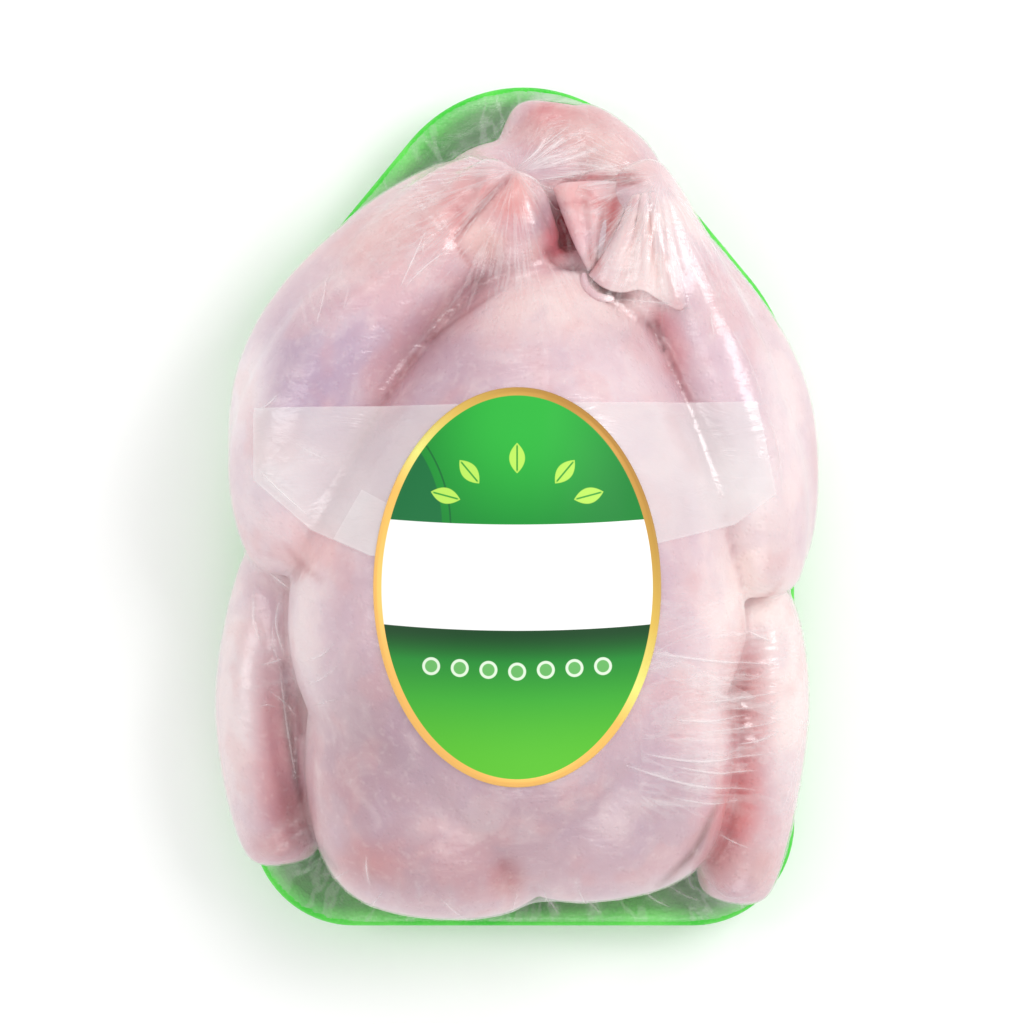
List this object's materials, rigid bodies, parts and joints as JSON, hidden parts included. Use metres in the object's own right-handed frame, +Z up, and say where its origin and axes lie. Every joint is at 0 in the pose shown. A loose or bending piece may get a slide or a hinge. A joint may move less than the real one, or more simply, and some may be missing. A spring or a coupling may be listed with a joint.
{
  "type": "whole raw chicken",
  "caption": "Whole raw chicken lying breast up on a moulded foam tray, sealed in clear film, with an oval label over the breast.",
  "frame": {"origin": "on the tray's flat base, under the middle of the pack", "axes": "+Z up out of the breast, +Y towards the tail, -Y towards the neck, +X to the right of a viewer who looks down with the tail up"},
  "size_m": [0.1841, 0.2608, 0.1101],
  "materials": {
    "wrapped_chicken": "pale pink skin under tight clear film",
    "tray": "green foam",
    "label": "satin print in green and white with a gold rim"
  },
  "bodies": {
    "root": {"wrapped_chicken": "wrapped_chicken", "tray": "tray", "label": "label"}
  },
  "joints": []
}
